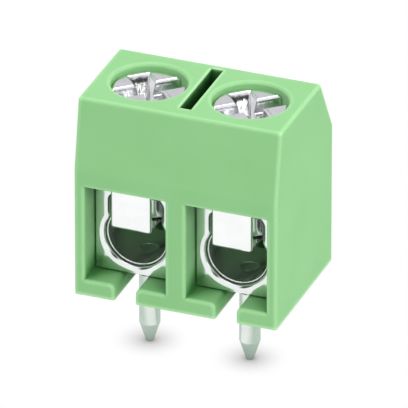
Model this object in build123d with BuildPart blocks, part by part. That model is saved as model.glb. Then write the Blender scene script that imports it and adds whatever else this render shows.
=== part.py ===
from build123d import *
import os

# Two-pole screw terminal block for a printed circuit board, 5 mm pitch, wire-guard type.
# Millimetres. The origin lies on the board, midway between the solder pins.
# X runs along the row of poles, the wires enter from -Y, and +Z is up.

# Row of poles
pole_count = 2
pitch = 5.0

# Contact body: a keyhole-shaped tube, round below for the wire and straight above for the screw,
# behind a front plate that fills the wire entry and leads into the tube with a large round
plate_thickness = 0.32
plate_hole_step = 0.04
plate_hole_round = 0.28
plate_hole_corner_round = 0.3
bore_diameter = 2.92
bore_floor = 0.4
ring_wall = 0.3
neck_gap = 2.46
leg_wall = 0.29
neck_shoulder_round = 0.8
bore_shoulder_round = 0.25
contact_height = 4.42
screw_to_contact_end = 1.86
top_plate = 0.5
collar_wall = 0.22
collar_guard_gap = 0.08

# Solder pin
pin_diameter = 1.0
pin_neck_diameter = 0.9
pin_length = 3.6
pin_taper = 1.0
pin_tip_diameter = 0.36
pin_seat_gap = 0.01

# Clamp screw, M2.5 with a small head, a straight slot and a cross recess
shank_diameter = 2.4
thread_gap = 0.03
screw_tip_diameter = 1.7
screw_tip_taper = 0.35
head_diameter = 3.5
head_height = 1.6
head_edge_break = 0.1
slot_width = 0.85
slot_depth = 0.7
slot_angle = 42.0
cross_reach = 1.32
cross_width = 0.95
cross_foot_reach = 0.62
cross_foot_width = 0.5
cross_depth = 1.2
driver_edge_break = 0.1
thread_pitch = 0.45
clamping_turns = 3.0

# Wire guard: a folded strip that hangs on the screw and lies between its tip and the wire
guard_thickness = 0.2
guard_web_width = 2.0
guard_flange_width = 3.0
guard_web_gap = 0.39
guard_bend = 0.12
guard_tongue_past_screw = 0.75
guard_flange_past_screw = 1.6
guard_corner_round = 0.4
guard_tongue_chamfer = 0.3
guard_edge_round = 0.13
guard_hole_gap = 0.05
guard_seat_gap = 0.02
guard_headroom = 0.16
wire_space = 2.09

# Housing: one moulding
floor_thickness = 0.8
entry_width = 4.0
entry_depth = 1.34
contact_clearance = 0.05
pin_slot_clearance = 0.025
pin_slot_lip_round = 0.3
wire_end_room = 1.34
rear_wall = 1.0
ledge_thickness = 0.95
head_clearance = 0.05
head_sink = 0.3
head_stop_margin = 0.15
front_lean = 0.6
front_lean_height = 3.5
rear_slope_run = 1.6
rear_slope_drop = 2.85
divider_width = 0.56
divider_length = 4.16
divider_depth = 4.0
divider_set_forward = 0.2
edge_round = 0.12
entry_edge_round = 0.12
recess_edge_break = 0.1
divider_edge_round = 0.05

# Heights above the board, worked out from the bottom up
contact_bottom = floor_thickness + contact_clearance
contact_top = contact_bottom + contact_height
bore_radius = bore_diameter / 2
ring_radius = bore_radius + ring_wall
bore_centre = contact_bottom + bore_floor + bore_radius
ring_centre = contact_bottom + ring_radius
neck_top = contact_top - top_plate
guard_low = contact_bottom + bore_floor + wire_space
guard_flange_low = contact_top + guard_seat_gap
guard_top = guard_flange_low + guard_thickness
entry_top = guard_top + guard_headroom
screw_travel = thread_pitch * clamping_turns
guard_tongue_top = guard_low + guard_thickness
screw_tip = guard_tongue_top + guard_seat_gap
collar_drop = neck_top - guard_tongue_top - collar_guard_gap
recess_floor = entry_top + ledge_thickness
head_bottom = recess_floor + head_stop_margin + screw_travel
head_top = head_bottom + head_height
housing_height = head_top + head_sink

# The cross recess tapers below the broken edge, and comes out through the slot's floor on its way
driver_edge_foot = head_top - driver_edge_break
slot_floor = head_top - slot_depth
cross_foot = head_top - cross_depth
taper_share = (driver_edge_foot - slot_floor) / (driver_edge_foot - cross_foot)
cross_floor_reach = cross_reach + (cross_foot_reach - cross_reach) * taper_share
cross_floor_width = cross_width + (cross_foot_width - cross_width) * taper_share

# Tapered cuts in the screw's head: top height, size there, foot height, size there.
# A size is the length along the slot and the length across it.
edge_gain = 2 * driver_edge_break
slot_edge_cut = (
    head_top, (head_diameter, slot_width + edge_gain),
    driver_edge_foot, (head_diameter, slot_width),
)
cross_edge_cut = (
    head_top, (cross_width + edge_gain, 2 * cross_reach + edge_gain),
    driver_edge_foot, (cross_width, 2 * cross_reach),
)
cross_arm_across = (
    driver_edge_foot, (cross_width, 2 * cross_reach),
    cross_foot, (cross_foot_width, 2 * cross_foot_reach),
)
cross_arm_along = (
    slot_floor, (2 * cross_floor_reach, cross_floor_width),
    cross_foot, (2 * cross_foot_reach, cross_foot_width),
)

# Depths, with the screws and pins at Y = 0
contact_front = -screw_to_contact_end
contact_rear = screw_to_contact_end
plate_rear = contact_front + plate_thickness
housing_front = contact_front - entry_depth
cavity_rear = contact_rear + wire_end_room
housing_rear = cavity_rear + rear_wall
guard_front = contact_front - guard_web_gap - guard_thickness

# Widths
housing_width = pitch * pole_count
leg_width = neck_gap + 2 * leg_wall
plate_width = entry_width - 2 * contact_clearance
pole_places = [pitch * (n - (pole_count - 1) / 2) for n in range(pole_count)]


def facing_front(x, y):
    """Upright plane across the block, seen from the wires' side."""
    return Plane((x, y, 0), x_dir=(1, 0, 0), z_dir=(0, -1, 0))


def facing_up(x, z):
    """Level plane at one pole."""
    return Plane((x, 0, z), x_dir=(1, 0, 0), z_dir=(0, 0, 1))


def keyhole(round_radius, round_height, neck_width, neck_height, shoulder_round):
    """Outline of a round foot with a straight neck on it, blended where the two meet."""
    with BuildSketch() as outline:
        with Locations((0, round_height)):
            Circle(round_radius)
        with Locations((0, (round_height + neck_height) / 2)):
            Rectangle(neck_width, neck_height - round_height)
        fillet(outline.vertices().group_by(Axis.Y)[-2], shoulder_round)
    return outline.sketch


contact_outline = keyhole(ring_radius, ring_centre, leg_width, contact_top, neck_shoulder_round)
bore_outline = keyhole(bore_radius, bore_centre, neck_gap, neck_top, bore_shoulder_round)

# Hole in the plate: a small step wider than the tube's bore, with rounded corners at its top
with BuildSketch() as plate_hole:
    add(keyhole(bore_radius + plate_hole_step, bore_centre, neck_gap, neck_top, bore_shoulder_round))
    fillet(plate_hole.vertices().group_by(Axis.Y)[-1], plate_hole_corner_round)
plate_hole_outline = plate_hole.sketch

cavity_outline = keyhole(
    ring_radius + contact_clearance,
    ring_centre,
    leg_width + 2 * contact_clearance,
    entry_top,
    neck_shoulder_round,
)

# Mouth of one wire entry, open at the bottom where the pin slides in
with BuildSketch() as entry:
    with Locations((0, (floor_thickness + entry_top) / 2)):
        Rectangle(entry_width, entry_top - floor_thickness)
    with Locations((0, floor_thickness / 2)):
        Rectangle(pin_diameter + 2 * pin_slot_clearance, floor_thickness)
    fillet(entry.vertices().group_by(Axis.Y)[1].sort_by(Axis.X)[1:-1], pin_slot_lip_round)
entry_outline = entry.sketch

# Housing: the side profile pulled out to the full width, then opened for each pole
with BuildPart() as housing:
    with BuildSketch(Plane.YZ.offset(-housing_width / 2)):
        with BuildLine():
            Polyline(
                (housing_front, 0),
                (housing_front, housing_height - front_lean_height),
                (housing_front + front_lean, housing_height),
                (housing_rear - rear_slope_run, housing_height),
                (housing_rear, housing_height - rear_slope_drop),
                (housing_rear, 0),
                close=True,
            )
        make_face()
    extrude(amount=housing_width)
    fillet(housing.edges().group_by(Axis.Z)[1:], edge_round)

    # Mouths of the wire entries
    with BuildSketch(facing_front(0, housing_front)):
        with Locations([(x, 0) for x in pole_places]):
            add(entry_outline)
    extrude(amount=housing_front - plate_rear - contact_clearance, mode=Mode.SUBTRACT)
    mouth_edges = housing.edges(Select.LAST).group_by(Axis.Y)[0]
    fillet(mouth_edges.group_by(Axis.Z)[1:], entry_edge_round)

    # Cavities that hold the contacts, with room behind for the wire ends
    with BuildSketch(facing_front(0, contact_front)):
        with Locations([(x, 0) for x in pole_places]):
            add(cavity_outline)
    extrude(amount=contact_front - cavity_rear, mode=Mode.SUBTRACT)

    # Slots that the pins slide along from the front, each ending round its pin
    slot_end_radius = pin_diameter / 2 + pin_slot_clearance
    with BuildSketch(Plane.XY):
        with Locations([(x, housing_front / 2) for x in pole_places]):
            Rectangle(2 * slot_end_radius, -housing_front)
        with Locations([(x, 0) for x in pole_places]):
            Circle(slot_end_radius)
    extrude(amount=ring_centre, mode=Mode.SUBTRACT)

    # Recesses for the screw heads, and the holes down through the ledge
    with BuildSketch(Plane.XY.offset(housing_height)):
        with Locations([(x, 0) for x in pole_places]):
            Circle(head_diameter / 2 + head_clearance)
    extrude(amount=recess_floor - housing_height, mode=Mode.SUBTRACT)
    chamfer(housing.edges(Select.LAST).group_by(Axis.Z)[-1], recess_edge_break)
    with BuildSketch(Plane.XY.offset(recess_floor)):
        with Locations([(x, 0) for x in pole_places]):
            Circle(leg_width / 2)
    extrude(amount=-ledge_thickness, mode=Mode.SUBTRACT)

    # Blind slots between neighbouring screws
    with BuildSketch(Plane.XY.offset(housing_height)):
        with Locations([(x + pitch / 2, divider_set_forward) for x in pole_places[:-1]]):
            Rectangle(divider_width, divider_length)
    extrude(amount=-divider_depth, mode=Mode.SUBTRACT)
    fillet(housing.edges(Select.LAST).group_by(Axis.Z)[-1], divider_edge_round)

housing.part.label = "housing"

os.makedirs("parts", exist_ok=True)
export_step(housing.part, "parts/housing.step")

for number, x in enumerate(pole_places, start=1):
    # Contact body: the front plate, the keyhole tube behind it, and a threaded collar inside the top
    with BuildPart() as contact:
        with BuildSketch(facing_front(x, contact_front)):
            with Locations((0, (contact_bottom + contact_top) / 2)):
                Rectangle(plate_width, contact_height)
            add(plate_hole_outline, mode=Mode.SUBTRACT)
        extrude(amount=-plate_thickness)
        front_face = contact.faces().sort_by(Axis.Y)[0]
        fillet(front_face.inner_wires()[0].edges(), plate_hole_round)
        with BuildSketch(facing_front(x, plate_rear)):
            add(contact_outline)
            add(bore_outline, mode=Mode.SUBTRACT)
        extrude(amount=plate_rear - contact_rear)
        with BuildSketch(facing_up(x, neck_top)):
            Circle(shank_diameter / 2 + thread_gap + collar_wall)
        extrude(amount=-collar_drop)
        with BuildSketch(facing_up(x, contact_top)):
            Circle(shank_diameter / 2 + thread_gap)
        extrude(amount=-top_plate - collar_drop, mode=Mode.SUBTRACT)
        with BuildSketch(facing_up(x, contact_bottom)):
            Circle(pin_neck_diameter / 2 + pin_seat_gap)
        extrude(amount=bore_radius, mode=Mode.SUBTRACT)
    contact.part.label = f"contact_{number}"
    export_step(contact.part, f"parts/contact_{number}.step")

    # Solder pin, with a thinner neck that is riveted into the floor of the contact body
    with BuildPart() as pin:
        with BuildSketch(facing_front(x, 0)):
            with BuildLine():
                Polyline(
                    (0, -pin_length),
                    (pin_tip_diameter / 2, -pin_length),
                    (pin_diameter / 2, pin_taper - pin_length),
                    (pin_diameter / 2, 0),
                    (pin_neck_diameter / 2, 0),
                    (pin_neck_diameter / 2, contact_bottom + bore_floor),
                    (0, contact_bottom + bore_floor),
                    close=True,
                )
            make_face()
        revolve(axis=Axis((x, 0, 0), (0, 0, 1)))
    pin.part.label = f"solder_pin_{number}"
    export_step(pin.part, f"parts/solder_pin_{number}.step")

    # Clamp screw, turned, then slotted and punched
    with BuildPart() as screw:
        with BuildSketch(facing_front(x, 0)):
            with BuildLine():
                Polyline(
                    (0, screw_tip),
                    (screw_tip_diameter / 2, screw_tip),
                    (shank_diameter / 2, screw_tip + screw_tip_taper),
                    (shank_diameter / 2, head_bottom),
                    (head_diameter / 2, head_bottom),
                    (head_diameter / 2, head_top - head_edge_break),
                    (head_diameter / 2 - head_edge_break, head_top),
                    (0, head_top),
                    close=True,
                )
            make_face()
        revolve(axis=Axis((x, 0, 0), (0, 0, 1)))
        with BuildSketch(facing_up(x, head_top)):
            Rectangle(head_diameter, slot_width, rotation=slot_angle)
        extrude(amount=-slot_depth, mode=Mode.SUBTRACT)
        for top, top_size, foot, foot_size in (
            slot_edge_cut, cross_edge_cut, cross_arm_across, cross_arm_along
        ):
            with BuildSketch(facing_up(x, top)):
                Rectangle(*top_size, rotation=slot_angle)
            with BuildSketch(facing_up(x, foot)):
                Rectangle(*foot_size, rotation=slot_angle)
            loft(mode=Mode.SUBTRACT)
    screw.part.label = f"clamp_screw_{number}"
    export_step(screw.part, f"parts/clamp_screw_{number}.step")

    # Wire guard: flange on top of the contact, web in front of it, tongue under the screw
    middle_front = guard_front + guard_thickness / 2
    with BuildPart() as guard:
        with BuildSketch(Plane.YZ.offset(x - guard_web_width / 2)):
            with BuildLine():
                FilletPolyline(
                    (contact_front, guard_flange_low + guard_thickness / 2),
                    (middle_front, guard_flange_low + guard_thickness / 2),
                    (middle_front, guard_low + guard_thickness / 2),
                    (guard_tongue_past_screw, guard_low + guard_thickness / 2),
                    radius=guard_bend,
                )
            trace(line_width=guard_thickness)
        extrude(amount=guard_web_width)
        upright_edges = guard.edges().filter_by(Axis.Z).group_by(Axis.Y)
        chamfer(upright_edges[-1], guard_tongue_chamfer)
        fillet(upright_edges[0], guard_edge_round)
        # The flange is wider than the web, and the screw goes through it
        with BuildSketch(facing_up(x, guard_flange_low)) as flange:
            with Locations((0, (contact_front + guard_flange_past_screw) / 2)):
                Rectangle(guard_flange_width, guard_flange_past_screw - contact_front)
            fillet(flange.vertices().group_by(Axis.Y)[-1], guard_corner_round)
            Circle(shank_diameter / 2 + guard_hole_gap, mode=Mode.SUBTRACT)
        extrude(amount=guard_thickness)
    guard.part.label = f"wire_guard_{number}"
    export_step(guard.part, f"parts/wire_guard_{number}.step")
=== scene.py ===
"""Looks of a two-pole screw terminal block for a circuit board.

The moulded housing, the contacts and the solder pins are the frame's own meshes. The clamp
screws and the wire guards are finished here: the screws need their threads, and the guards'
tongues, which bend as the screws come down, are cut into pieces of their own.
"""

import math

import bmesh
import bpy
from mathutils import Matrix, Vector


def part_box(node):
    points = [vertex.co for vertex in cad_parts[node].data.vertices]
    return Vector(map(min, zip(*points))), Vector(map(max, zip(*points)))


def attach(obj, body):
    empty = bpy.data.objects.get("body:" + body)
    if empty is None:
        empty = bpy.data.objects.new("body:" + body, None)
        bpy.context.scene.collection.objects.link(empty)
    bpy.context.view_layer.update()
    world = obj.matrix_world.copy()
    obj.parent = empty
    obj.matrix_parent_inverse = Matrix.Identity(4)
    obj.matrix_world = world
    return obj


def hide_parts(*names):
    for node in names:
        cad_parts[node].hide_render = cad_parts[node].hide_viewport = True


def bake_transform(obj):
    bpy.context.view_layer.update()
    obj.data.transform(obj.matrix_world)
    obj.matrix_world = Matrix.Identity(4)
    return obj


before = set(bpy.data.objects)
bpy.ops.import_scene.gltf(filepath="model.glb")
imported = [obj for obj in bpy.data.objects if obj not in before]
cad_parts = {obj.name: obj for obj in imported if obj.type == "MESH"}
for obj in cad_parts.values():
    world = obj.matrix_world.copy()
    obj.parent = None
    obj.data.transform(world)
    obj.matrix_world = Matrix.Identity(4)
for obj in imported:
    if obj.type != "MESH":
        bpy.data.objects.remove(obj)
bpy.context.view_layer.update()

MM = 0.001
POLES = (1, 2)

# Meshes: points that count as one, how near a cut takes a point as its own, and the angle in
# degrees from which two faces meet at a sharp edge
WELD_DISTANCE = 0.0005 * MM
CUT_TOLERANCE = 0.0001 * MM
SHARP_ANGLE = 32

# Clamp screw: its thread, with the crest's share of a pitch, its shank, how far that runs into the
# head, its tip, where the head begins, and the sides and rows of the thread's mesh
THREAD_PITCH = 0.45 * MM
THREAD_DEPTH = 0.24 * MM
THREAD_CREST = 0.14
THREAD_RUN_OUT = 0.5 * MM
SHANK_RADIUS = 1.2 * MM
SHANK_INTO_HEAD = 0.3 * MM
SCREW_TIP_RADIUS = 0.85 * MM
SCREW_TIP_TAPER = 0.35 * MM
HEAD_UNDERSIDE = 8.10 * MM
SHANK_SIDES = 64
ROWS_PER_TURN = 14

# Metals: the depth of their tool lines, and in millimetres as Object coordinates give them the
# rear of the contacts' front plates and over what depth the duller metal sets in behind it
TOOL_LINE_DEPTH = 0.004 * MM
PLATE_REAR = -1.54
PLATE_FADE = 0.1

# Wire guard: where its tongue begins, and the cuts across it
GUARD_BEND_START = -2.1 * MM
GUARD_CUTS = 24

# Housing: how far the painted edge highlight reaches, the edges' look of roundness, how far a
# crevice's painted shade reaches, and the depth of the mould's grain
EDGE_HIGHLIGHT_REACH = 0.21 * MM
EDGE_ROUND = 0.12 * MM
CREVICE_REACH = 1.3 * MM
GRAIN_DEPTH = 0.01 * MM

# Housing, in millimetres as Object coordinates give them: the entries' top, half the width across
# the divider slot, over what length each painted shade gives way to the next, and grains in a millimetre
ENTRY_TOP = 5.65
ENTRY_FADE = 0.5
SLOT_HALF = 0.4
SLOT_FADE = 0.1
GRAINS = 18.0

# Camera, at the photograph's angle
AZIMUTH = math.radians(21.0)
ELEVATION = math.radians(28.3)
LENS = 1000.0
SENSOR = 36.0
FRAME_WIDTH = 18.98 * MM
AIM_RIGHT = 0.195 * MM
AIM_UP = 3.58 * MM

# Table: its height at the pins' ends, its reach each way, and how near a pin puts painted shadow on it
FLOOR_HEIGHT = -3.6 * MM
FLOOR_REACH = 400 * MM
PIN_SHADE_REACH = 1.7 * MM

# What the lamps point at
LAMP_AIM = Vector((0, 0, 5 * MM))


def linear(code):
    """sRGB hex colour as linear RGBA."""
    channels = [int(code[i:i + 2], 16) / 255 for i in (1, 3, 5)]
    return [c / 12.92 if c <= 0.04045 else ((c + 0.055) / 1.055) ** 2.4 for c in channels] + [1.0]


def add(tree, kind, inputs=None, **settings):
    """Adds one node with its settings; each input is given a value or another node's output."""
    node = tree.nodes.new(kind)
    for name, value in settings.items():
        setattr(node, name, value)
    for key, value in (inputs or {}).items():
        if isinstance(value, bpy.types.NodeSocket):
            tree.links.new(value, node.inputs[key])
        else:
            node.inputs[key].default_value = value
    return node


def ramp(tree, factor, *stops):
    """A colour ramp through (place, linear grey or colour) stops."""
    node = add(tree, "ShaderNodeValToRGB", {"Fac": factor})
    elements = node.color_ramp.elements
    while len(elements) < len(stops):
        elements.new(0.5)
    for element, (place, colour) in zip(elements, stops):
        element.position = place
        element.color = colour if hasattr(colour, "__len__") else (colour, colour, colour, 1.0)
    return node


def new_material(name):
    """An empty node material, its output and its object coordinates in millimetres."""
    material = bpy.data.materials.new(name)
    material.use_nodes = True
    tree = material.node_tree
    tree.nodes.clear()
    output = add(tree, "ShaderNodeOutputMaterial")
    place = add(tree, "ShaderNodeTexCoord")
    millimetres = add(
        tree, "ShaderNodeVectorMath", {0: place.outputs["Object"], 1: (1000.0,) * 3}, operation="MULTIPLY"
    )
    return material, tree, output, millimetres.outputs["Vector"]


def soft_normal(tree, radius, height, strength, distance):
    """A fine bump over edges that are rounded by a small radius, so that they catch the light."""
    edge = add(tree, "ShaderNodeBevel", {"Radius": radius}, samples=8)
    return add(
        tree,
        "ShaderNodeBump",
        {"Height": height, "Strength": strength, "Distance": distance, "Normal": edge.outputs["Normal"]},
    ).outputs["Normal"]


def moulded_polyamide():
    """Polyamide 6.6, injection moulded: pale green, satin, with painted highlights at edges and painted
    shade in crevices.
    """
    material, tree, output, place = new_material("moulded_polyamide")
    # Pigment swirls of a few millimetres, barely darker and lighter than the mean
    flow = add(tree, "ShaderNodeTexNoise", {"Vector": place, "Scale": 0.35, "Detail": 3.0})
    body = ramp(tree, flow.outputs["Fac"], (0.3, linear("#97D691")), (0.7, linear("#9CDA96")))
    # Painted highlight: the last fifth of a millimetre at an edge is coloured a lighter green
    thin = add(
        tree,
        "ShaderNodeAmbientOcclusion",
        {"Distance": EDGE_HIGHLIGHT_REACH},
        samples=16,
        inside=True,
        only_local=True,
    )
    glow = ramp(tree, thin.outputs["AO"], (0.6, 1.0), (0.97, 0.0))
    edge_highlighted = add(
        tree,
        "ShaderNodeMix",
        {"Factor": glow.outputs["Color"], "A": body.outputs["Color"], "B": linear("#C6FDBF")},
        data_type="RGBA",
    )
    # Painted shade: narrow places, found by ambient occlusion, are coloured a deeper green: above the
    # entries in the divider slot alone, and from the entries' top down in every corner
    crevice_occlusion = add(tree, "ShaderNodeAmbientOcclusion", {"Distance": CREVICE_REACH}, samples=12)
    axes = add(tree, "ShaderNodeSeparateXYZ", {0: place}).outputs
    aside = add(tree, "ShaderNodeMath", {0: axes["X"]}, operation="ABSOLUTE").outputs[0]
    beyond = add(
        tree,
        "ShaderNodeMapRange",
        {"Value": aside, "From Min": SLOT_HALF, "From Max": SLOT_HALF + SLOT_FADE},
    ).outputs["Result"]
    open_sky = add(
        tree, "ShaderNodeMath", {0: crevice_occlusion.outputs["AO"], 1: beyond}, operation="MAXIMUM"
    ).outputs[0]
    slot_painted_shade = ramp(tree, open_sky, (0.1, linear("#24502A")), (0.45, linear("#6E9C70")), (0.8, 1.0))
    corners = ramp(
        tree, crevice_occlusion.outputs["AO"], (0.45, linear("#7FA581")), (0.65, linear("#C8DFC9")), (0.9, 1.0)
    )
    entries = add(
        tree,
        "ShaderNodeMapRange",
        {"Value": axes["Z"], "From Min": ENTRY_TOP + ENTRY_FADE, "From Max": ENTRY_TOP},
    ).outputs["Result"]
    shade = add(
        tree,
        "ShaderNodeMix",
        {"Factor": entries, "A": slot_painted_shade.outputs["Color"], "B": corners.outputs["Color"]},
        data_type="RGBA",
    )
    colour = add(
        tree,
        "ShaderNodeMix",
        {"Factor": 1.0, "A": edge_highlighted.outputs["Result"], "B": shade.outputs["Result"]},
        data_type="RGBA",
        blend_type="MULTIPLY",
    )
    # Spark-eroded mould grain of 0.05 mm
    grain = add(
        tree, "ShaderNodeTexNoise", {"Vector": place, "Scale": GRAINS, "Detail": 4.0, "Roughness": 0.6}
    )
    gloss = add(
        tree,
        "ShaderNodeMapRange",
        {"Value": grain.outputs["Fac"], "From Min": 0.3, "From Max": 0.7, "To Min": 0.4, "To Max": 0.48},
    )
    shader = add(
        tree,
        "ShaderNodeBsdfPrincipled",
        {
            "Base Color": colour.outputs["Result"],
            "Roughness": gloss.outputs["Result"],
            "IOR": 1.53,
            "Specular IOR Level": 0.3,
            "Subsurface Weight": 0.1,
            "Subsurface Radius": (0.5, 1.0, 0.4),
            "Subsurface Scale": 0.3 * MM,
            "Normal": soft_normal(tree, EDGE_ROUND, grain.outputs["Fac"], 0.06, GRAIN_DEPTH),
        },
    )
    tree.links.new(shader.outputs["BSDF"], output.inputs["Surface"])
    return material


def plated_metal(
    name, dark, light, smooth, rough, line_scale, line_strength, edge_radius, metallic=1.0, on_walls=0.0
):
    """Bright plated metal: fine tool lines along one direction, deeper on upright walls if wanted."""
    material, tree, output, place = new_material(name)
    cloud = add(tree, "ShaderNodeTexNoise", {"Vector": place, "Scale": 1.1, "Detail": 4.0})
    colour = ramp(tree, cloud.outputs["Fac"], (0.3, linear(dark)), (0.7, linear(light)))
    stretched = add(
        tree, "ShaderNodeVectorMath", {0: place, 1: line_scale}, operation="MULTIPLY"
    )
    lines = add(
        tree, "ShaderNodeTexNoise", {"Vector": stretched.outputs["Vector"], "Scale": 1.0, "Detail": 5.0}
    )
    gloss = add(
        tree,
        "ShaderNodeMapRange",
        {
            "Value": lines.outputs["Fac"],
            "From Min": 0.3,
            "From Max": 0.7,
            "To Min": smooth,
            "To Max": rough,
        },
    )
    # Behind the contacts' front plates the plating is a little duller
    along = add(tree, "ShaderNodeSeparateXYZ", {0: place}).outputs["Y"]
    purity = add(
        tree,
        "ShaderNodeMapRange",
        {
            "Value": along,
            "From Min": PLATE_REAR - PLATE_FADE,
            "From Max": PLATE_REAR,
            "To Min": 1.0,
            "To Max": metallic,
        },
    )
    facing = add(tree, "ShaderNodeNewGeometry")
    upward = add(tree, "ShaderNodeSeparateXYZ", {0: facing.outputs["True Normal"]}).outputs["Z"]
    level = add(tree, "ShaderNodeMath", {0: upward}, operation="ABSOLUTE").outputs[0]
    upright = add(
        tree,
        "ShaderNodeMapRange",
        {"Value": level, "From Min": 0.9, "From Max": 0.4, "To Min": 1.0, "To Max": 1.0 + on_walls},
    ).outputs["Result"]
    height = add(
        tree, "ShaderNodeMath", {0: lines.outputs["Fac"], 1: upright}, operation="MULTIPLY"
    ).outputs[0]
    shader = add(
        tree,
        "ShaderNodeBsdfPrincipled",
        {
            "Base Color": colour.outputs["Color"],
            "Metallic": purity.outputs["Result"],
            "Roughness": gloss.outputs["Result"],
            "Normal": soft_normal(tree, edge_radius, height, line_strength, TOOL_LINE_DEPTH),
        },
    )
    tree.links.new(shader.outputs["BSDF"], output.inputs["Surface"])
    return material


def drawn_tin_contact():
    """Bright tin on drawn brass: almost white, with faint die lines along the bore."""
    return plated_metal(
        "drawn_tin_contact",
        dark="#E6EAE9",
        light="#F2F5F4",
        smooth=0.09,
        rough=0.14,
        line_scale=(14.0, 0.8, 14.0),
        line_strength=0.1,
        edge_radius=0.04 * MM,
        metallic=0.84,
    )


def drawn_tin_pin():
    """Matt tin on drawn brass wire: soft reflections, with die lines along the pin."""
    return plated_metal(
        "drawn_tin_pin",
        dark="#E4ECE6",
        light="#F0F5F1",
        smooth=0.16,
        rough=0.24,
        line_scale=(10.0, 10.0, 0.6),
        line_strength=0.08,
        edge_radius=0.03 * MM,
        metallic=0.84,
    )


def rolled_tin_guard():
    """Bright tin on rolled bronze strip: the whitest metal here, with rolling lines along the strip."""
    return plated_metal(
        "rolled_tin_guard",
        dark="#F6F8F8",
        light="#FCFDFD",
        smooth=0.06,
        rough=0.1,
        line_scale=(18.0, 1.2, 1.2),
        line_strength=0.08,
        edge_radius=0.07 * MM,
        metallic=0.94,
    )


def zinc_plated_steel():
    """Clear-passivated zinc on turned steel: bright, faintly lilac, with a soft barrel-plated skin."""
    return plated_metal(
        "zinc_plated_steel",
        dark="#E3E3E6",
        light="#F1F1F3",
        smooth=0.06,
        rough=0.12,
        line_scale=(6.0, 6.0, 0.4),
        line_strength=0.7,
        edge_radius=0.09 * MM,
        on_walls=3.0,
    )


def dress(piece, material):
    """Gives every face of a piece one material."""
    piece.data.materials.clear()
    piece.data.materials.append(material)
    piece.data.polygons.foreach_set("material_index", [0] * len(piece.data.polygons))


def copy_of_node(node, name):
    """A merged copy of a CAD node's mesh, as an object of its own."""
    shell = bmesh.new()
    shell.from_mesh(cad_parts[node].data)
    bmesh.ops.remove_doubles(shell, verts=shell.verts, dist=WELD_DISTANCE)
    mesh = bpy.data.meshes.new(name)
    shell.to_mesh(mesh)
    shell.free()
    for attribute in ("custom_normal", "sharp_face", "sharp_edge"):
        if attribute in mesh.attributes:
            mesh.attributes.remove(mesh.attributes[attribute])
    piece = bpy.data.objects.new(name, mesh)
    bpy.context.scene.collection.objects.link(piece)
    return piece


def smooth_by_angle(piece):
    """Smooth shading, kept sharp where two faces meet at more than the sharp angle."""
    mesh = piece.data
    mesh.polygons.foreach_set("use_smooth", [True] * len(mesh.polygons))
    mesh.set_sharp_from_angle(angle=math.radians(SHARP_ANGLE))


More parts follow.
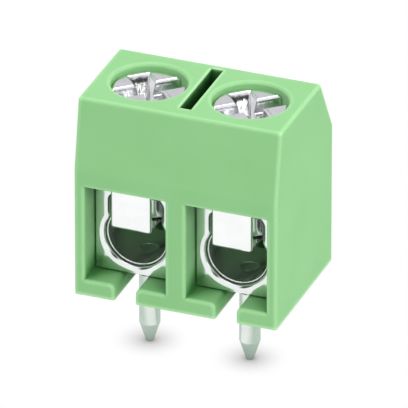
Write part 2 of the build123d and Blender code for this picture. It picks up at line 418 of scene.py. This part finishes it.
def thread_tree():
    """Geometry Nodes: a cylinder with a helical groove, run out at the head and coned at the tip."""
    tree = bpy.data.node_groups.new("rolled_thread", "GeometryNodeTree")
    tree.interface.new_socket("Geometry", in_out="OUTPUT", socket_type="NodeSocketGeometry")
    for name, value in (
        ("Radius", SHANK_RADIUS),
        ("Length", 5.0 * MM),
        ("Pitch", THREAD_PITCH),
        ("Groove Depth", THREAD_DEPTH),
        ("Crest Share", THREAD_CREST),
        ("Run Out", THREAD_RUN_OUT),
        ("Tip Radius", SCREW_TIP_RADIUS),
        ("Tip Taper", SCREW_TIP_TAPER),
    ):
        socket = tree.interface.new_socket(name, in_out="INPUT", socket_type="NodeSocketFloat")
        socket.default_value = value
    for name, value in (("Sides", SHANK_SIDES), ("Rows", 100)):
        socket = tree.interface.new_socket(name, in_out="INPUT", socket_type="NodeSocketInt")
        socket.default_value = value
    tree.interface.new_socket("Material", in_out="INPUT", socket_type="NodeSocketMaterial")

    given = add(tree, "NodeGroupInput").outputs

    def calc(operation, *values):
        return add(tree, "ShaderNodeMath", dict(enumerate(values)), operation=operation).outputs[0]

    rod = add(
        tree,
        "GeometryNodeMeshCylinder",
        {
            "Vertices": given["Sides"],
            "Side Segments": given["Rows"],
            "Radius": given["Radius"],
            "Depth": given["Length"],
        },
        fill_type="TRIANGLE_FAN",
    )
    # Height above the tip, and the turn round the axis as a share of one turn
    place = add(tree, "GeometryNodeInputPosition")
    axes = add(tree, "ShaderNodeSeparateXYZ", {0: place.outputs[0]}).outputs
    height = calc("ADD", axes["Z"], calc("MULTIPLY", given["Length"], 0.5))
    turn = calc("DIVIDE", calc("ARCTAN2", axes["Y"], axes["X"]), 2 * math.pi)
    # A triangle wave over each pitch makes the groove: 0 on the crest's flat, 1 at its bottom
    turns_up = calc("SUBTRACT", calc("DIVIDE", height, given["Pitch"]), turn)
    phase = calc("FRACT", calc("ADD", turns_up, 1.0))
    wave = calc("MULTIPLY", calc("ABSOLUTE", calc("SUBTRACT", phase, 0.5)), 2.0)
    groove = add(
        tree,
        "ShaderNodeMapRange",
        {
            "Value": wave,
            "From Min": calc("SUBTRACT", 1.0, given["Crest Share"]),
            "From Max": given["Crest Share"],
        },
    ).outputs[0]
    # The groove fades out towards the head
    fade = add(
        tree,
        "ShaderNodeMapRange",
        {
            "Value": calc("SUBTRACT", given["Length"], height),
            "From Min": SHANK_INTO_HEAD,
            "From Max": calc("ADD", given["Run Out"], SHANK_INTO_HEAD),
        },
    ).outputs[0]
    depth = calc("MULTIPLY", groove, calc("MULTIPLY", given["Groove Depth"], fade))
    threaded = calc("SUBTRACT", given["Radius"], depth)
    cone = add(
        tree,
        "ShaderNodeMapRange",
        {
            "Value": height,
            "From Min": 0.0,
            "From Max": given["Tip Taper"],
            "To Min": given["Tip Radius"],
            "To Max": given["Radius"],
        },
    ).outputs[0]
    radius = calc("MINIMUM", threaded, cone)
    # Only the side and the rims move: the middle of each end stays on the axis
    flat = add(tree, "ShaderNodeCombineXYZ", {0: axes["X"], 1: axes["Y"]}).outputs[0]
    out = add(tree, "ShaderNodeVectorMath", {0: flat}, operation="LENGTH").outputs["Value"]
    share = calc("DIVIDE", radius, given["Radius"])
    moved = add(tree, "ShaderNodeVectorMath", {0: flat, "Scale": share}, operation="SCALE").outputs[0]
    rim = calc("GREATER_THAN", out, calc("MULTIPLY", given["Radius"], 0.5))
    lift = add(tree, "ShaderNodeCombineXYZ", {2: axes["Z"]}).outputs[0]
    target = add(tree, "ShaderNodeVectorMath", {0: moved, 1: lift}, operation="ADD").outputs[0]
    shape = add(
        tree,
        "GeometryNodeSetPosition",
        {"Geometry": rod.outputs["Mesh"], "Selection": rim, "Position": target},
    )
    real = add(tree, "GeometryNodeRealizeInstances", {"Geometry": shape.outputs[0]})
    painted = add(
        tree, "GeometryNodeSetMaterial", {"Geometry": real.outputs[0], "Material": given["Material"]}
    )
    add(tree, "NodeGroupOutput", {"Geometry": painted.outputs[0]})
    return tree


def made_by_nodes(name, tree, values):
    """Runs a Geometry Nodes tree with named inputs and returns its result as a plain mesh."""
    carrier = bpy.data.objects.new(name, bpy.data.meshes.new(name))
    bpy.context.scene.collection.objects.link(carrier)
    modifier = carrier.modifiers.new("shape", "NODES")
    modifier.node_group = tree
    for item in tree.interface.items_tree:
        if item.in_out == "INPUT" and item.name in values:
            modifier[item.identifier] = values[item.name]
    graph = bpy.context.evaluated_depsgraph_get()
    mesh = bpy.data.meshes.new_from_object(
        carrier.evaluated_get(graph), preserve_all_data_layers=True, depsgraph=graph
    )
    bpy.data.objects.remove(carrier)
    return mesh


def clamp_screw(number, tree, material):
    """The CAD head with its slot and cross recess, joined to a threaded shank."""
    node = f"clamp_screw_{number}"
    low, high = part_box(node)
    axis = (low + high) / 2
    head = copy_of_node(node, f"screw_with_thread_{number}")
    shell = bmesh.new()
    shell.from_mesh(head.data)
    cut = bmesh.ops.bisect_plane(
        shell,
        geom=shell.verts[:] + shell.edges[:] + shell.faces[:],
        plane_co=(0, 0, HEAD_UNDERSIDE),
        plane_no=(0, 0, 1),
        dist=CUT_TOLERANCE,
        clear_inner=True,
    )
    rim = [e for e in cut["geom_cut"] if isinstance(e, bmesh.types.BMEdge) and e.is_boundary]
    bmesh.ops.triangle_fill(shell, edges=rim, use_beauty=True)
    bmesh.ops.recalc_face_normals(shell, faces=shell.faces)
    shell.to_mesh(head.data)
    shell.free()

    length = HEAD_UNDERSIDE + SHANK_INTO_HEAD - low.z
    shank_mesh = made_by_nodes(
        "shank",
        tree,
        {
            "Length": length,
            "Rows": round(length / THREAD_PITCH * ROWS_PER_TURN),
            "Material": material,
        },
    )
    shank_mesh.transform(Matrix.Translation((axis.x, axis.y, low.z + length / 2)))
    shank = bpy.data.objects.new("shank", shank_mesh)
    bpy.context.scene.collection.objects.link(shank)
    join = head.modifiers.new("join", "BOOLEAN")
    join.operation = "UNION"
    join.solver = "EXACT"
    join.object = shank
    graph = bpy.context.evaluated_depsgraph_get()
    joined = bpy.data.meshes.new_from_object(head.evaluated_get(graph), depsgraph=graph)
    head.modifiers.clear()
    head.data = joined
    bpy.data.objects.remove(shank)
    smooth_by_angle(head)
    dress(head, material)
    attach(head, f"screw_{number}")
    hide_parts(node)


def wire_guard(number, material):
    """The CAD strip, parted where its tongue begins: web and flange are held, the tongue is cut across
    into a piece of its own.
    """
    node = f"wire_guard_{number}"
    low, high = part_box(node)
    middle = (low + high) / 2
    step = (high.y - GUARD_BEND_START) / GUARD_CUTS
    for name, is_tongue in (("held_guard", False), ("bending_tongue", True)):
        piece = copy_of_node(node, f"{name}_{number}")
        shell = bmesh.new()
        shell.from_mesh(piece.data)
        # The held piece is cut once, at the seam, and the tongue all along, so that it can bend
        for n in range(GUARD_CUTS if is_tongue else 1):
            bmesh.ops.bisect_plane(
                shell,
                geom=shell.verts[:] + shell.edges[:] + shell.faces[:],
                plane_co=(0, GUARD_BEND_START + n * step, 0),
                plane_no=(0, 1, 0),
                dist=CUT_TOLERANCE,
            )
        # What belongs to the other piece goes, and the open end at the seam is closed
        other = []
        for face in shell.faces:
            spot = face.calc_center_median()
            if (spot.y > GUARD_BEND_START and spot.z < middle.z) != is_tongue:
                other.append(face)
        bmesh.ops.delete(shell, geom=other, context="FACES")
        bmesh.ops.holes_fill(shell, edges=[e for e in shell.edges if e.is_boundary], sides=0)
        shell.to_mesh(piece.data)
        shell.free()
        smooth_by_angle(piece)
        dress(piece, material)
        if is_tongue:
            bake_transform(piece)
        else:
            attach(piece, "root")
        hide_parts(node)


def painted_low_reflection(tree, direction):
    """Painted reflection for polished metal low down: white in front, grey-green at the sides and behind.
    """
    axes = add(tree, "ShaderNodeSeparateXYZ", {0: direction}).outputs
    front = add(tree, "ShaderNodeMath", {0: axes["Y"], 1: -1.0}, operation="MULTIPLY").outputs[0]
    turn = add(tree, "ShaderNodeMath", {0: axes["X"], 1: front}, operation="ARCTAN2").outputs[0]
    share = add(
        tree, "ShaderNodeMapRange", {"Value": turn, "From Min": -math.pi, "From Max": math.pi}
    ).outputs["Result"]
    behind = (0.6, 0.67, 0.62, 1.0)
    return ramp(
        tree, share, (0.0, behind), (0.31, (0.62, 0.71, 0.65, 1.0)), (0.41, 1.0), (0.6, 1.0),
        (0.7, (0.5, 0.61, 0.53, 1.0)), (1.0, behind)
    )


def floor():
    """A plain white table: pure white to the camera, a painted reflection to metal, and a painted soft
    shadow at the pins.
    """
    mesh = bpy.data.meshes.new("floor")
    corners = [
        (x * FLOOR_REACH, y * FLOOR_REACH, FLOOR_HEIGHT) for x, y in ((-1, -1), (1, -1), (1, 1), (-1, 1))
    ]
    mesh.from_pydata(corners, [], [(0, 1, 2, 3)])
    plane = bpy.data.objects.new("floor", mesh)
    bpy.context.scene.collection.objects.link(plane)
    material = bpy.data.materials.new("white_table")
    material.use_nodes = True
    tree = material.node_tree
    tree.nodes.clear()
    output = add(tree, "ShaderNodeOutputMaterial")
    paper = add(tree, "ShaderNodeBsdfDiffuse", {"Color": (0.85, 0.85, 0.85, 1.0)})
    # Painted shadow: the pins alone are near enough to darken the table, in a soft spot each
    near = add(tree, "ShaderNodeAmbientOcclusion", {"Distance": PIN_SHADE_REACH}, samples=24)
    shade = ramp(
        tree, near.outputs["AO"], (0.35, 0.3), (0.6, 0.5), (0.83, 0.78), (0.92, 0.94), (0.96, 1.0)
    )
    place = add(tree, "ShaderNodeTexCoord")
    # Painted reflection: metal sees the table white in front and grey-green at the sides
    painted_table_reflection = painted_low_reflection(tree, place.outputs["Object"])
    rays = add(tree, "ShaderNodeLightPath").outputs
    mirrored = add(
        tree,
        "ShaderNodeMix",
        {"Factor": rays["Is Glossy Ray"], "A": (1.0, 1.0, 1.0, 1.0), "B": painted_table_reflection.outputs["Color"]},
        data_type="RGBA",
    )
    tone = add(
        tree,
        "ShaderNodeMix",
        {"Factor": 1.0, "A": shade.outputs["Color"], "B": mirrored.outputs["Result"]},
        data_type="RGBA",
        blend_type="MULTIPLY",
    )
    glow = add(tree, "ShaderNodeEmission", {"Color": tone.outputs["Result"], "Strength": 1.0})
    seen = add(
        tree, "ShaderNodeMath", {0: rays["Is Camera Ray"], 1: rays["Is Glossy Ray"]}, operation="MAXIMUM"
    )
    mixed = add(
        tree,
        "ShaderNodeMixShader",
        {"Fac": seen.outputs[0], 1: paper.outputs[0], 2: glow.outputs[0]},
    )
    # From below, the table doesn't hide the part
    side = add(tree, "ShaderNodeNewGeometry").outputs["Backfacing"]
    clear = add(tree, "ShaderNodeBsdfTransparent")
    one_sided = add(
        tree, "ShaderNodeMixShader", {"Fac": side, 1: mixed.outputs[0], 2: clear.outputs[0]}
    )
    tree.links.new(one_sided.outputs[0], output.inputs["Surface"])
    dress(plane, material)


def studio():
    """White surroundings, soft even light, painted reflections for metal, one large lamp above and one at
    the right.
    """
    world = bpy.data.worlds.new("studio")
    bpy.context.scene.world = world
    world.use_nodes = True
    tree = world.node_tree
    tree.nodes.clear()
    rays = add(tree, "ShaderNodeLightPath").outputs
    ambient = add(tree, "ShaderNodeBackground", {"Color": (1, 1, 1, 1), "Strength": 0.68})
    white = add(tree, "ShaderNodeBackground", {"Color": (1, 1, 1, 1), "Strength": 1.0})
    # Painted reflections, seen by metal alone: above the horizon white low down and overhead, with
    # a dark gap between them, and behind the part a grey wall below the gap
    direction = add(tree, "ShaderNodeTexCoord")
    axes = add(tree, "ShaderNodeSeparateXYZ", {0: direction.outputs["Generated"]}).outputs
    wall = (0.72, 0.7, 0.74, 1.0)
    rear = ramp(
        tree, axes["Z"], (0.0, 0.9), (0.2, 0.85), (0.3, wall), (0.54, wall),
        (0.58, 0.04), (0.82, 0.04), (0.88, 1.0)
    )
    fore = ramp(tree, axes["Z"], (0.0, 1.0), (0.3, 1.0), (0.38, 0.05), (0.7, 0.05), (0.76, 1.0))
    # In front of the part the gap is at the two sides only
    aside = add(tree, "ShaderNodeMath", {0: axes["X"]}, operation="ABSOLUTE").outputs[0]
    outward = add(
        tree, "ShaderNodeMapRange", {"Value": aside, "From Min": 0.4, "From Max": 0.5}
    ).outputs["Result"]
    front = add(
        tree,
        "ShaderNodeMix",
        {"Factor": outward, "A": (1.0, 1.0, 1.0, 1.0), "B": fore.outputs["Color"]},
        data_type="RGBA",
    )
    side = add(
        tree, "ShaderNodeMapRange", {"Value": axes["Y"], "From Min": -0.1, "From Max": 0.1}
    ).outputs["Result"]
    painted_high_reflection = add(
        tree,
        "ShaderNodeMix",
        {"Factor": side, "A": front.outputs["Result"], "B": rear.outputs["Color"]},
        data_type="RGBA",
    )
    mirrored = add(tree, "ShaderNodeBackground", {"Color": painted_high_reflection.outputs["Result"], "Strength": 1.0})
    inner = add(
        tree,
        "ShaderNodeMixShader",
        {"Fac": rays["Is Glossy Ray"], 1: ambient.outputs[0], 2: mirrored.outputs[0]},
    )
    outer = add(
        tree,
        "ShaderNodeMixShader",
        {"Fac": rays["Is Camera Ray"], 1: inner.outputs[0], 2: white.outputs[0]},
    )
    output = add(tree, "ShaderNodeOutputWorld")
    tree.links.new(outer.outputs[0], output.inputs["Surface"])

    for name, place, size, power in (
        ("above", (0.01, 0.0, 0.12), 0.09, 0.056),
        ("right", (0.12, -0.02, 0.05), 0.08, 0.031),
    ):
        data = bpy.data.lights.new(name, "AREA")
        data.size = size
        data.energy = power
        lamp = bpy.data.objects.new(name, data)
        lamp.location = place
        lamp.rotation_euler = (LAMP_AIM - Vector(place)).to_track_quat("-Z", "Y").to_euler()
        bpy.context.scene.collection.objects.link(lamp)


def camera():
    """Long lens, so that parallel edges stay parallel as in the photograph."""
    right = Vector((math.cos(AZIMUTH), math.sin(AZIMUTH), 0))
    back = Vector((
        math.sin(AZIMUTH) * math.cos(ELEVATION),
        -math.cos(AZIMUTH) * math.cos(ELEVATION),
        math.sin(ELEVATION),
    ))
    up = back.cross(right)
    data = bpy.data.cameras.new("camera")
    data.lens = LENS
    data.sensor_width = SENSOR
    data.clip_start = 0.01
    data.clip_end = 5.0
    view = bpy.data.objects.new("camera", data)
    view.location = right * AIM_RIGHT + up * AIM_UP + back * (FRAME_WIDTH * LENS / SENSOR)
    view.rotation_euler = (-back).to_track_quat("-Z", "Y").to_euler()
    bpy.context.scene.collection.objects.link(view)
    bpy.context.scene.camera = view


dress(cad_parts["housing"], moulded_polyamide())
contact_metal = drawn_tin_contact()
pin_metal = drawn_tin_pin()
screw_metal = zinc_plated_steel()
guard_metal = rolled_tin_guard()
thread = thread_tree()
for pole in POLES:
    dress(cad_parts[f"contact_{pole}"], contact_metal)
    dress(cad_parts[f"solder_pin_{pole}"], pin_metal)
    clamp_screw(pole, thread, screw_metal)
    wire_guard(pole, guard_metal)

floor()
studio()
camera()
bpy.context.scene.view_settings.view_transform = "Standard"
